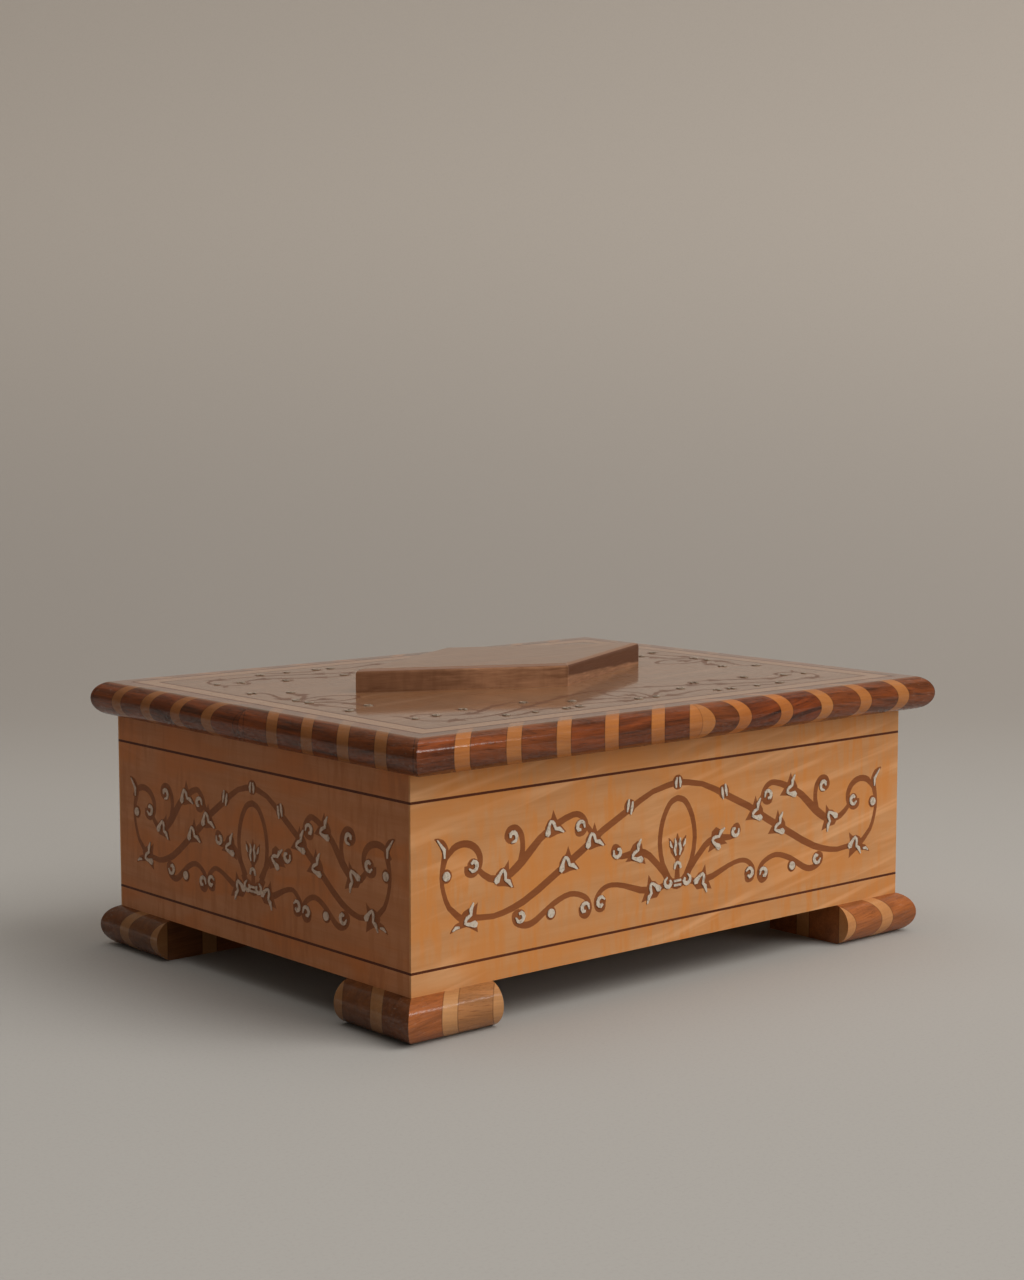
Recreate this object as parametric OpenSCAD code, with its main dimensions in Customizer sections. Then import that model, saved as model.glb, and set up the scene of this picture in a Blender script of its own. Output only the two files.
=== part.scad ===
// Marquetry jewellery box: a veneered case on four laminated feet, with a hinged lid.
// Millimetres, +Z up, front towards -Y. The origin is on the resting plane, under the middle of the lid.

/* [Case] */
// length of the case along X
body_l = 240; // [200:1:300]
// depth of the case along Y
body_w = 178; // [150:1:230]
// height of the case above its feet
body_h = 73; // [65:1:110]
// thickness of a side, veneer included
wall_t = 10; // [8:0.5:14]
// thickness of the floor panel
floor_t = 5; // [4:0.5:8]
// height of the floor panel above the lower edge of the sides
floor_up = 5; // [4:0.5:12]
// depth of the groove that holds the floor panel
groove_d = 3; // [2:0.5:5]
// thickness of the felt on the floor
felt_t = 1.5; // [1:0.1:3]

/* [Lid] */
// thickness of the lid
lid_t = 12.5; // [10:0.5:16]
// how far the lid stands out at the left and the right
side_over = 7; // [5:0.5:10]
// how far the lid stands out at the front
front_over = 12; // [8:0.5:14]
// how far the lid stands out at the back
back_over = 8; // [7:0.5:10]
// width of the striped edging, seen from above
edge_w = 11; // [9:0.5:14]
// how far the half round stands out from the flat faces of the edging
edge_bulge = 5.2; // [3:0.1:6]

/* [Stripes] */
// width of a maple stripe, measured along the edging
light_w = 6.5; // [4:0.1:9]
// distance from the last maple stripe to the corner of the lid
corner_block = 18.5; // [16:0.5:22]
// number of maple stripes beside the middle of a long side
long_stripes = 5; // [3:1:7]
// number of maple stripes beside the middle of a short side
short_stripes = 4; // [3:1:6]

/* [Feet] */
// height of a foot
foot_h = 15; // [12:0.5:22]
// width of a foot on both sides of its corner
foot_s = 40; // [34:0.5:50]
// how far a foot stands out from the case
foot_over = 5.8; // [4:0.1:6.5]
// distance from the corner of a foot to its first maple stripe
foot_block = 13.8; // [10:0.1:18]
// walnut between the two maple stripes of a foot
foot_gap = 15; // [10:0.1:18]

/* [Lozenge] */
// long diagonal of the lozenge that lifts the lid
loz_l = 142; // [110:1:170]
// short diagonal of the lozenge
loz_w = 72; // [50:1:80]
// height of the lozenge above the lid
loz_h = 8.5; // [6:0.1:10]
// how far the lozenge stands behind the middle of the lid
loz_back = 7; // [0:0.5:10]
// radius of the upper edges of the lozenge
loz_round = 1.8; // [1:0.1:3]

/* [Inlay] */
// thickness of all veneers and inlays
veneer_t = 0.8; // [0.6:0.1:1.2]
// how far the pewter stands out from the inlays it is fixed on
pewter_t = 0.3; // [0.2:0.05:0.5]
// width of the dark stringing
string_w = 0.9; // [0.7:0.1:1.6]
// height of the lower stringing above the lower edge of the case
string_low = 7.8; // [6:0.1:9]
// distance of the upper stringing from the rim
string_top = 9.6; // [8:0.1:12]
// width of the light border on the lid
border_w = 7.5; // [5:0.5:10]
// width of the scroll lines, as a share of their drawn width
line_share = 1; // [0.85:0.01:1.1]

/* [Hinges] */
// distance from the middle of a hinge to the end of the case
hinge_in = 48; // [40:1:65]
// length of a hinge
hinge_l = 30; // [24:1:36]
// width of a hinge leaf on the rim
leaf_w = 7.5; // [6.5:0.1:8]
// thickness of a hinge leaf
leaf_t = 1.2; // [1:0.1:1.6]
// outer radius of a hinge knuckle
knuckle_r = 2.3; // [2.1:0.1:2.4]
// radius of a hinge pin
pin_r = 1; // [0.8:0.05:1.2]
// radial play between a pin and its knuckles
pin_play = 0.05; // [0.02:0.01:0.1]
// clearance beside and around the knuckles
knuckle_gap = 0.3; // [0.2:0.05:0.5]

/* [Hidden] */
lid_l = body_l + 2 * side_over;
lid_w = body_w + front_over + back_over;
// the lid is centred on the origin, so the case is not
case_y = (front_over - back_over) / 2;
rim_z = foot_h + body_h;
lid_top = rim_z + lid_t;
back_y = case_y + body_w / 2;
inner_l = body_l - 2 * wall_t;
inner_w = body_w - 2 * wall_t;
core_l = lid_l - 2 * edge_w;
core_w = lid_w - 2 * edge_w;
// the light border lies between two dark lines
band_l = core_l - 2 * string_w;
band_w = core_w - 2 * string_w;
ring_l = core_l - 2 * border_w;
ring_w = core_w - 2 * border_w;
field_l = ring_l - 2 * string_w;
field_w = ring_w - 2 * string_w;
hinge_x = body_l / 2 - hinge_in;
// the axis of the hinges runs along X, clear of the back
axis_y = back_y + knuckle_r + 0.5;
knuckle_l = hinge_l / 3;
// how far the screws sit from the ends of a leaf
screw_in = 6;
screw_x = hinge_l / 2 - screw_in;
screw_y = back_y - leaf_w / 2 - 0.4;
screw_r = 0.9;
screw_head_r = 1.8;
screw_deep = 7;
screw_play = 0.05;
// the scroll is drawn for a case of this size, and reaches so far from its middle
drawn_l = 240;
drawn_w = 178;
drawn_h = 73;
drawn_reach = 110;
// shares that squeeze the scroll sideways without touching its curls
long_fit = body_l / drawn_l;
short_fit = 0.72 * body_w / drawn_w;
// the share that fits the height of the scroll to the case
rise = body_h / drawn_h;
// lowest and highest points of the drawn scroll, and of its middle part
drawn_low = 15.7;
drawn_high = 59.7;
heart_low = 16.2;
heart_high = 52.3;
// the scroll of the lid keeps this distance from stringing and lozenge, and the second one at its ends
lid_gap = 4;
lid_end_gap = 7;
lid_room = field_w / 2 - loz_w / 2 - loz_back - lid_gap - 0.5;
lid_share = lid_room / (drawn_high - drawn_low);
heart_share = (field_l / 2 - loz_l / 2 - 2 * lid_gap) / (heart_high - heart_low);
lid_fit = (field_l / 2 - lid_end_gap) / (drawn_reach * lid_share);
eps = 0.01;
$fn = 48;
// the angle after which a bent line gets another point, and the same for the lid and for the pewter
$bend = 13;
lid_bend = 46;
pewter_bend = 31;
// 1 while the left half of a scroll is drawn
$left = 0;

// Lines of the scroll

// a point of a smooth curve between b and c, with a and d as its neighbours
function curve_at(a, b, c, d, t) =
    0.5 * (2 * b + (c - a) * t + (2 * a - 5 * b + 4 * c - d) * t * t + (3 * b - a - 3 * c + d) * t * t * t);

function flat(p) = [p[0], p[1]];

// the angle between two directions
function bend(u, v) = acos(max(-1, min(1, u * v / (norm(u) * norm(v)))));

// the drawn points, with more between two of them where the line bends, most of all where they are far apart
function smooth_line(p) = [
    for (i = [0 : len(p) - 2])
        let (a = p[max(i - 1, 0)], b = p[i], c = p[i + 1], d = p[min(i + 2, len(p) - 1)])
        let (turn = bend(flat(c - a), flat(d - b)) * (0.6 + norm(flat(c - b)) / 11))
        let (n = ceil(0.01 + turn / $bend))
        for (j = [0 : n - 1])
            curve_at(a, b, c, d, j / n),
    p[len(p) - 1]
];

// one edge of a line of varying width: s is 1 for its left and -1 for its right
function line_side(p, s) = [
    for (i = [0 : len(p) - 1])
        let (along = flat(p[min(i + 1, len(p) - 1)] - p[max(i - 1, 0)]))
        flat(p[i]) + s * p[i][2] / 2 * [-along[1], along[0]] / norm(along)
];

function turned_round(p) = [for (i = [len(p) - 1 : -1 : 0]) p[i]];

// drawn points are anchor, offset from the anchor, height and width: only the anchors are squeezed
function placed(p, fit) = [for (q = p) [q[0] * fit + q[1], q[2], q[3] * line_share]];

// a line that is as wide at each point as drawn there
module line(p) {
    polygon(concat(line_side(p, 1), turned_round(line_side(p, -1))));
}

// the arch from the top of the panel down to its lower corner
arch = [
    [0, 0, 57, 2.4], [12.3, 0, 55, 2], [24.6, 0, 49.6, 2.6], [36.2, 0, 44.2, 2.6], [46.2, 0, 38.3, 2.8],
    [59.2, 0, 31.3, 2.7], [72.3, 0, 24.7, 2.6], [85.4, 0, 21.7, 2], [96, 0, 23, 2.2]
];
// the stem that climbs the end of the panel, and its leaf
end_stem = [
    [104, -6.4, 21.8, 2.6], [104, 0.2, 27.2, 1.9], [104, 3.1, 34.8, 1.7], [104, 3, 40, 2],
    [104, 1.6, 45.2, 3], [104, 3.4, 49, 2.6], [104, 6.2, 50.6, 0.5]
];
// the large curl beside that stem
end_curl = [
    [96, 9.6, 43.4, 1.6], [96, 6.4, 46.6, 2.4], [96, 2, 47.6, 2.4], [96, -2.2, 46.2, 2.5],
    [96, -4.7, 43, 2.4], [96, -4.6, 39.4, 2.3], [96, -2.2, 37, 2.2], [96, 0.6, 37.6, 2], [96, 1, 40, 1.5]
];
// the stem from the large curl to the middle curl
wave = [
    [92, -0.6, 37.8, 2], [87, 0, 34.6, 2.4], [80, 0, 34.2, 2.8], [72.6, 0, 38.6, 3.4], [65, 0, 45, 2.8],
    [57, 0, 49.2, 2.6], [50, 0, 51.4, 2.2], [46, 0.2, 50.6, 2.2], [46, -2, 47.6, 2.2],
    [46, -0.8, 45, 2.4], [46, 1.8, 44.8, 2.2], [46, 2.6, 47.2, 1.4]
];
// the short stalk from the middle curl to the arch
wave_link = [[46, -2, 47.4, 1.8], [44, -2.4, 44.4, 2.2], [43, -2.6, 41, 2.4]];
// the small curl that rises from the wave
wave_curl = [
    [74, -0.6, 37.6, 3.2], [74, -1.4, 42.4, 2.2], [74, -1, 47, 2.3], [74, 1.4, 49.9, 2.4],
    [74, 4.4, 49.8, 2.2], [74, 5.6, 47.3, 2], [74, 4, 45.5, 1.4]
];
// the lower stem beside the middle, ending in a curl
base_stem = [
    [4, 0, 22.2, 2], [9.2, 0, 20, 2.5], [18, 0, 20.8, 2.4], [26, 0, 23.5, 1.9], [32, 0, 24.6, 1.8],
    [38, -1.6, 23.6, 1.9], [38, 1, 20.6, 2.2], [38, 0.4, 17.6, 2.6], [38, -2, 17.1, 2.2],
    [38, -2.6, 19.4, 1.4]
];
// the lower stem with a curl at both ends
low_stem = [
    [45, 1.6, 19, 1.4], [45, 1, 16.6, 2.2], [45, -1.4, 15.9, 2.5], [45, -2.8, 18.6, 2.2],
    [45, -0.6, 22.2, 2], [51.2, 0, 24.2, 2], [59, 0, 21.9, 2.2], [66.5, 0, 17.6, 2.4],
    [71, 0, 16.5, 2.4], [75, 0.4, 18, 2.3], [75, 1.3, 20.8, 2], [75, -1, 22, 1.3]
];
// the loop round the middle flower
loop = [
    [0, 4.4, 23.4, 2.4], [0, 7.2, 28.4, 2.2], [0, 8.7, 36, 2.1], [0, 7.4, 43.8, 2.2],
    [0, 4, 49.6, 2.2], [0, 0.6, 51.2, 2.2], [0, -0.5, 51.2, 2.2]
];
// the sprig that leaves the loop near its foot
sprig = [
    [6.2, 0, 25, 2.4], [13.8, 0, 32.4, 2.6], [20, 0, 34.4, 3], [27, 0, 33.9, 2],
    [30, 1.2, 35.2, 1.9], [30, 0.6, 37.8, 1.9], [30, -1.4, 37.6, 1.2]
];
// the foot from which the loop and its sprigs rise
base = [[0, -0.5, 20.4, 3.8], [0, 3.2, 21.4, 3.4], [0, 6.4, 25.4, 2.6]];
// the stalk of the middle flower
flower_stalk = [[0, 0, 19.6, 3.4], [0, 0, 25, 2.2], [0, 0, 31.5, 1.8], [0, 0, 34, 2.4]];

// where the buds sit: anchor, offset, height, turn, and 1 for those that are turned over
buds = [
    [81, 0, 34.2, -14, 0], [59, 0, 48.2, 8, 0], [52.6, 0, 35, 4, 0], [42.5, -2, 41.6, 4, 0],
    [20, 0, 34.2, 106, 1], [96, -0.4, 22.6, -28, 0], [12.4, 0, 20, 8, 1]
];
// the pewter on these buds: turn, and 1 if turned over, on the left half and then on the right half
flourishes = [
    [-14, 0, 40, 1], [8, 0, 100, 0], [4, 0, 100, 0], [4, 0, 100, 0],
    [100, 0, 75, 0], [105, 0, -20, 0], [30, 1, -30, 0]
];
// the pewter curls in the ends of the stems: anchor, offset, height, turn
curls = [
    [96, -1.9, 39.8, 200], [74, 3, 47.2, 150], [46, 0.6, 47, 60], [30, -0.6, 35.7, 250],
    [75, -1.2, 19.8, 220], [45, -0.6, 18.4, 60], [38, -1, 19.4, 20], [4.6, 0, 21.6, 300]
];
// those of them that belong to the middle part, and the others
heart_curls = [3, 6, 7];
end_curls = [0, 1, 2, 4, 5];
// pewter drops on bare stems: anchor, offset, height
drops = [[104, 1.4, 37.8], [60, 0, 18.9]];
// the pair of pewter bars on the arch: anchor, height, turn
bars = [23.4, 51, 30];
// the knobs of the scroll under its pewter
curl_knob = 2.5;
drop_knob = 2.4;
bar_knob = 2.7;
// heights of the flower, of the small bow under it, of the bars at its foot and of the top of the arch
flower_z = 30;
bow_z = 26.9;
foot_z = 20.9;
top_z = 57;

// a small leafy bud: a knob with a pointed leaf above and a pointed tail beside it
bud_shape = [
    [-4, -1.6], [-3.5, 0.9], [-2, 2.7], [-0.4, 3.3], [0.9, 5.9], [1.9, 2.7], [3, 0.7], [5.6, -3],
    [1.4, -2.9], [-2, -3.3]
];
// the pewter flourish on a bud
bud_flourish = [
    [-3.4, -2.3, 1.3], [-2.7, -1.4, 2.4], [-2.1, 0.4, 1.3], [-0.9, 2.3, 1.1], [0.4, 1.2, 1.2],
    [0.9, -0.7, 1.1], [2.5, -1.1, 1.5], [4.4, -2.8, 0.5]
];
// the pewter on the curls and on the stems
curl_line = [
    [-1.5, 1.3, 0.5], [0.2, 1.8, 1.1], [1.5, 0.7, 1.3], [1.2, -1, 1.5], [-0.4, -1.4, 1.4], [-1.1, -0.4, 0.8]
];
bar_line = [[-0.7, -2.2, 0.5], [0, 0, 1.3], [0.8, 2.1, 0.7]];
top_bar = [[0, -1.9, 0.5], [0.1, 0, 1.3], [-0.4, 1.8, 0.6]];
drop_r = 1.6;
petal = [[0, 0, 2.2], [0, 3.4, 3.6], [0, 8.6, 0.4]];
petal_line = [[0.9, 0.8, 0.5], [1.5, 2.8, 1.2], [0.9, 5, 1.2], [1.4, 7, 0.4]];
side_petal_line = [[0.4, 4.6, 0.4], [0.6, 5.8, 1], [0.1, 7.4, 0.4]];
petal_turn = 30;
bow_line = [[-0.1, 1.4, 1.1], [1.1, 0.8, 1.2], [1.6, -0.9, 0.8]];
foot_bar = [[-0.1, 0, 0.8], [1.8, 0, 0.8]];
leaf_line = [[104, 2.2, 43.8, 0.6], [104, 2.3, 46.6, 1.3], [104, 5.2, 50.2, 0.4]];
tail_leaf = [[96, 0.6, 21.4, 3], [96, 5.4, 20.4, 2], [96, 7.9, 18.6, 0.3]];
tail_line = [[96, 4, 20.2, 0.6], [96, 5.6, 20.2, 1.1], [96, 7, 19.3, 0.4]];

// the middle part of the scroll, right of its middle line
module scroll_heart(fit) {
    for (p = [base_stem, base, loop, sprig, flower_stalk])
        line(smooth_line(placed(p, fit)));
    for (turn = [0, -petal_turn])
        translate([0, flower_z])
            rotate(turn)
                line(petal);
    for (b = [buds[4], buds[6]])
        bud_place(b, fit)
            polygon(bud_shape);
    for (i = heart_curls)
        spot(curls[i], fit)
            circle(r = curl_knob, $fn = 14);
}

// the right half of the scroll, its buds included
module scroll_half(fit) {
    scroll_heart(fit);
    for (p = [arch, end_stem, end_curl, wave, wave_link, wave_curl, low_stem, tail_leaf])
        line(smooth_line(placed(p, fit)));
    for (i = [0, 1, 2, 3, 5])
        bud_place(buds[i], fit)
            polygon(bud_shape);
    for (i = end_curls)
        spot(curls[i], fit)
            circle(r = curl_knob, $fn = 14);
    for (d = drops)
        spot(d, fit)
            circle(r = drop_knob, $fn = 14);
    for (p = [[bars[0] * fit, bars[1]], [0, top_z]])
        translate(p)
            circle(r = bar_knob, $fn = 14);
}

// moves a drawing to a listed place: anchor, offset and height
module spot(p, fit) {
    translate([p[0] * fit + p[1], p[2]])
        children();
}

module bud_place(b, fit) {
    spot(b, fit)
        mirror([1, 0])
            rotate(b[3])
                mirror([b[4], 0])
                    children();
}

// places the pewter of bud i, which is not mirrored from half to half
module flourish_place(i, fit) {
    f = flourishes[i];
    spot(buds[i], fit)
        mirror([$left, 0])
            rotate($left == 1 ? f[0] : f[2])
                mirror([$left == 1 ? f[1] : f[3], 0])
                    children();
}

// the pewter on the listed curls of the right half
module pewter_curls(which, fit) {
    for (i = which)
        spot(curls[i], fit)
            rotate(curls[i][3])
                line(smooth_line(curl_line, $bend = pewter_bend));
}

module pewter_drops(fit) {
    for (d = drops)
        spot(d, fit)
            circle(r = drop_r, $fn = 10);
}

// the pewter of the flower and of its stalk, right of the middle line
module pewter_flower() {
    translate([0, flower_z]) {
        line(petal_line);
        rotate(-petal_turn)
            line(side_petal_line);
    }
    translate([0, bow_z])
        line(bow_line);
    for (z = [-0.8, 0.8])
        translate([0, foot_z + z])
            line(foot_bar);
}

// all the pewter of the right half
module pewter_half(fit) {
    pewter_curls(concat(heart_curls, end_curls), fit);
    pewter_drops(fit);
    pewter_flower();
    for (i = [0 : len(buds) - 1])
        flourish_place(i, fit)
            line(smooth_line(bud_flourish, $bend = pewter_bend));
    translate([bars[0] * fit, bars[1]])
        rotate(bars[2])
            for (side = [-1, 1])
                translate([side, 0])
                    line(bar_line);
    translate([1, top_z])
        line(top_bar);
    for (p = [leaf_line, tail_line])
        line(placed(p, fit));
}

// both halves of what is drawn once, for the right half
module both_halves() {
    for ($left = [0, 1])
        mirror([$left, 0])
            children();
}

module panel_pewter(fit) {
    offset(delta = 0)
        scale([1, rise])
            both_halves()
                pewter_half(fit);
}

module panel_scroll(fit) {
    offset(delta = 0)
        scale([1, rise])
            both_halves()
                scroll_half(fit);
}

// a sheet of veneer for one side, cut through for its inlays; the back one also for the hinge leaves
module panel_veneer(len, fit, hinged = false) {
    offset(delta = 0)
        difference() {
            translate([-len / 2, 0])
                square([len, body_h]);
            for (z = [string_low, body_h - string_top])
                translate([-len, z - string_w / 2])
                    square([2 * len, string_w]);
            panel_scroll(fit);
            if (hinged)
                for (x = [-hinge_x, hinge_x])
                    translate([x - hinge_l / 2, body_h - leaf_t])
                        square([hinge_l, 2 * leaf_t]);
        }
}

// stands a flat drawing up against one side of the case: far is the distance from the middle of the case,
// and a raised drawing lies on the face of the side and not in it
module on_side(turn, far, raised = false) {
    translate([0, case_y, foot_h])
        rotate(turn)
            translate([0, (raised ? 0 : veneer_t) - far, 0])
                rotate([90, 0, 0])
                    linear_extrude(raised ? pewter_t : veneer_t)
                        children();
}

// Drawing of the lid

module lid_places(long) {
    if (long)
        for (turn = [0, 180])
            rotate(turn)
                translate([0, lid_gap - field_w / 2 - drawn_low * lid_share])
                    scale([lid_share, lid_share])
                        children();
    else
        for (turn = [90, 270])
            rotate(turn)
                translate([0, lid_gap - field_l / 2 - heart_low * heart_share])
                    scale([heart_share, heart_share])
                        children();
}

module lid_scroll_drawing() {
    lid_places(true)
        both_halves()
            scroll_half(lid_fit, $bend = lid_bend);
    lid_places(false)
        both_halves()
            scroll_heart(1, $bend = lid_bend);
}

// the lid has pewter in its curls and on its stems only
module lid_pewter_drawing() {
    offset(delta = 0) {
        lid_places(true)
            both_halves() {
                pewter_curls(concat(heart_curls, end_curls), lid_fit);
                pewter_drops(lid_fit);
            }
        lid_places(false)
            both_halves()
                pewter_curls(heart_curls, 1);
    }
}

// Shared shapes

// the bullnose section: x runs outwards from the inner face, y upwards; the bulge is one round arc
module bullnose(w, h, bulge) {
    r = (bulge * bulge + h * h / 4) / (2 * bulge);
    square([w - bulge, h]);
    intersection() {
        translate([w - r, h / 2])
            circle(r = r);
        translate([w - bulge - eps, 0])
            square([bulge + 2 * eps, h]);
    }
}

// one rail of the edging before it is cut into blocks, mitred at both ends; its outer side faces -Y
module rail(len, far) {
    intersection() {
        translate([len / 2, edge_w - far, rim_z])
            rotate([90, 0, -90])
                linear_extrude(len)
                    bullnose(edge_w, lid_t, edge_bulge);
        translate([0, -far, rim_z - 1])
            linear_extrude(lid_t + 2)
                polygon([[-len / 2, 0], [len / 2, 0],
                    [len / 2 - edge_w, edge_w], [edge_w - len / 2, edge_w]]);
    }
}

// the maple stripes of a rail as slabs on the skew: parallel to the mitre of the nearest corner
module rail_slabs(len, far, count, middle) {
    pitch = (len / 2 - corner_block) / count;
    translate([0, -far, rim_z - 1])
        linear_extrude(lid_t + 2) {
            for (k = [1 : count], s = [-1, 1])
                skew_band(s, k * pitch - light_w / 2, k * pitch + light_w / 2);
            if (middle)
                polygon([[-light_w, 0], [light_w, 0], [0, light_w]]);
        }
}

module skew_band(s, from, to) {
    d = edge_w + 1;
    polygon([[s * (from + 1), -1], [s * (to + 1), -1], [s * (to - d), d], [s * (from - d), d]]);
}

module rail_blocks(len, far, count, middle) {
    difference() {
        rail(len, far);
        rail_slabs(len, far, count, middle);
    }
}

module rail_stripes(len, far, count, middle) {
    intersection() {
        rail(len, far);
        rail_slabs(len, far, count, middle);
    }
}

// a foot before it is cut into blocks: its outer corner is at the origin, its outer sides face -X and -Y
module foot_body() {
    bulge = foot_over;
    intersection() {
        translate([foot_s, foot_s, 0])
            rotate([90, 0, -90])
                linear_extrude(foot_s)
                    bullnose(foot_s, foot_h, bulge);
        translate([foot_s, 0, 0])
            rotate([90, 0, 180])
                linear_extrude(foot_s)
                    bullnose(foot_s, foot_h, bulge);
    }
}

// the maple stripes of a foot as slabs parallel to its diagonal
module foot_slabs() {
    first = foot_block;
    second = foot_block + light_w + foot_gap;
    translate([0, 0, -1])
        linear_extrude(foot_h + 2)
            for (s = [0, 1])
                mirror([s, -s]) {
                    diagonal_band(first, first + light_w);
                    diagonal_band(second, foot_s + 1);
                }
}

module diagonal_band(from, to) {
    d = foot_s + 1;
    polygon([[from - 1, -1], [to - 1, -1], [to + d, d], [from + d, d]]);
}

module foot_place(sx, sy) {
    translate([sx * (body_l / 2 + foot_over), case_y + sy * (body_w / 2 + foot_over), 0])
        mirror([sx + 1, 0, 0])
            mirror([0, sy + 1, 0])
                children();
}

module foot_blocks() {
    difference() {
        foot_body();
        foot_slabs();
    }
}

module foot_stripes() {
    intersection() {
        foot_body();
        foot_slabs();
    }
}

// one side of the case behind its veneer, mitred at the ends and grooved for the floor; it faces -Y
module wall(len, far) {
    t = wall_t - veneer_t;
    outer = len / 2 - veneer_t;
    difference() {
        translate([0, veneer_t - far, foot_h])
            linear_extrude(body_h)
                polygon([[-outer, 0], [outer, 0], [outer - t, t], [t - outer, t]]);
        translate([-len, wall_t - far - groove_d, foot_h + floor_up])
            cube([2 * len, groove_d + 1, floor_t]);
    }
}

module stringing(z) {
    translate([0, case_y, foot_h + z - string_w / 2])
        linear_extrude(string_w)
            frame(body_l, body_w, veneer_t);
}

// a flat rectangular frame of width t
module frame(l, w, t) {
    difference() {
        square([l, w], center = true);
        square([l - 2 * t, w - 2 * t], center = true);
    }
}

// the whole lozenge: where two long bars with rounded upper edges cross
module lozenge() {
    lean = atan(loz_w / loz_l);
    across = loz_l * sin(lean);
    translate([0, loz_back, 0])
        intersection_for (turn = [-lean, lean])
            rotate(turn)
                translate([loz_l, 0, lid_top])
                    rotate([90, 0, -90])
                        linear_extrude(2 * loz_l)
                            rounded_bar(across);
}

// the section of such a bar
module rounded_bar(w) {
    translate([-w / 2, 0])
        square([w, loz_h - loz_round]);
    translate([loz_round - w / 2, 0])
        square([w - 2 * loz_round, loz_h]);
    for (s = [-1, 1])
        translate([s * (w / 2 - loz_round), loz_h - loz_round])
            circle(r = loz_round);
}

// a slab that holds all of the lid between two heights
module lid_layer(from, to) {
    translate([-lid_l, -lid_w, from])
        cube([2 * lid_l, 2 * lid_w, to - from]);
}

// a leaf of a hinge: side is -1 for the one let into the rim and 1 for the one let into the lid
module hinge_leaf(x, side) {
    translate([x, 0, rim_z])
        difference() {
            union() {
                translate([-hinge_l / 2, back_y - leaf_w, side < 0 ? -leaf_t : 0])
                    cube([hinge_l, axis_y - back_y + leaf_w, leaf_t]);
                for (k = side < 0 ? [-1, 1] : [0])
                    knuckle_place(k)
                        cylinder(r = knuckle_r, h = knuckle_l - knuckle_gap, center = true);
            }
            for (k = side < 0 ? [0] : [-1, 1])
                knuckle_place(k)
                    cylinder(r = knuckle_r + knuckle_gap, h = knuckle_l + knuckle_gap, center = true);
            knuckle_place(0)
                cylinder(r = pin_r + pin_play, h = hinge_l + 2, center = true);
            leaf_screws(side)
                screw_hole();
        }
}

module knuckle_place(k) {
    translate([k * knuckle_l, axis_y, 0])
        rotate([0, 90, 0])
            children();
}

// places the two screws of a leaf, pointing into the wood, with the face of the leaf at zero
module leaf_screws(side) {
    for (sx = [-1, 1])
        translate([sx * screw_x, screw_y, 0])
            rotate([side < 0 ? 180 : 0, 0, 0])
                children();
}

module screw_hole() {
    translate([0, 0, -eps])
        cylinder(r1 = screw_head_r + screw_play, r2 = screw_r + screw_play, h = leaf_t * 0.75 + eps);
    cylinder(r = screw_r + screw_play, h = screw_deep + 0.3);
}

module screw() {
    difference() {
        union() {
            cylinder(r1 = screw_head_r, r2 = screw_r, h = leaf_t * 0.75);
            cylinder(r = screw_r, h = screw_deep);
        }
        translate([-screw_head_r - 1, -0.2, -1])
            cube([2 * screw_head_r + 2, 0.4, 1.5]);
    }
}

// the wood that gives way to the two leaves of one side, and to the knuckles in the lid
module hinge_seat(side) {
    for (x = [-hinge_x, hinge_x])
        translate([x, 0, rim_z]) {
            translate([-hinge_l / 2, back_y - leaf_w, side < 0 ? -leaf_t : -1])
                cube([hinge_l, axis_y - back_y + leaf_w, leaf_t + 1]);
            if (side > 0)
                knuckle_place(0)
                    cylinder(r = knuckle_r + knuckle_gap, h = hinge_l + 2 * knuckle_gap, center = true);
            leaf_screws(side)
                screw_hole();
        }
}

// Case

module front_wall() {
    color("peru")
        translate([0, case_y, 0])
            wall(body_l, body_w / 2);
}

module back_wall() {
    color("peru")
        difference() {
            translate([0, case_y, 0])
                rotate(180)
                    wall(body_l, body_w / 2);
            hinge_seat(-1);
        }
}

module left_wall() {
    color("peru")
        translate([0, case_y, 0])
            rotate(-90)
                wall(body_w, body_l / 2);
}

module right_wall() {
    color("peru")
        translate([0, case_y, 0])
            rotate(90)
                wall(body_w, body_l / 2);
}

module floor_panel() {
    color("burlywood")
        translate([0, case_y, foot_h + floor_up])
            linear_extrude(floor_t)
                square([inner_l + 2 * groove_d, inner_w + 2 * groove_d], center = true);
}

module floor_lining() {
    color("darkred")
        translate([0, case_y, foot_h + floor_up + floor_t])
            linear_extrude(felt_t)
                square([inner_l, inner_w], center = true);
}

module front_veneer() {
    color("goldenrod")
        on_side(0, body_w / 2)
            panel_veneer(body_l, long_fit);
}

module back_veneer() {
    color("goldenrod")
        on_side(180, body_w / 2)
            panel_veneer(body_l, long_fit, true);
}

module left_veneer() {
    color("goldenrod")
        on_side(-90, body_l / 2)
            panel_veneer(body_w - 2 * veneer_t, short_fit);
}

module right_veneer() {
    color("goldenrod")
        on_side(90, body_l / 2)
            panel_veneer(body_w - 2 * veneer_t, short_fit);
}

module lower_stringing() {
    color("black")
        stringing(string_low);
}

module upper_stringing() {
    color("black")
        stringing(body_h - string_top);
}

module front_scroll() {
    color("sienna")
        on_side(0, body_w / 2)
            panel_scroll(long_fit);
}

module back_scroll() {
    color("sienna")
        on_side(180, body_w / 2)
            panel_scroll(long_fit);
}

module left_scroll() {
    color("sienna")
        on_side(-90, body_l / 2)
            panel_scroll(short_fit);
}

module right_scroll() {
    color("sienna")
        on_side(90, body_l / 2)
            panel_scroll(short_fit);
}

module front_pewter() {
    color("lightgray")
        on_side(0, body_w / 2, true)
            panel_pewter(long_fit);
}

module back_pewter() {
    color("lightgray")
        on_side(180, body_w / 2, true)
            panel_pewter(long_fit);
}

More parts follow.
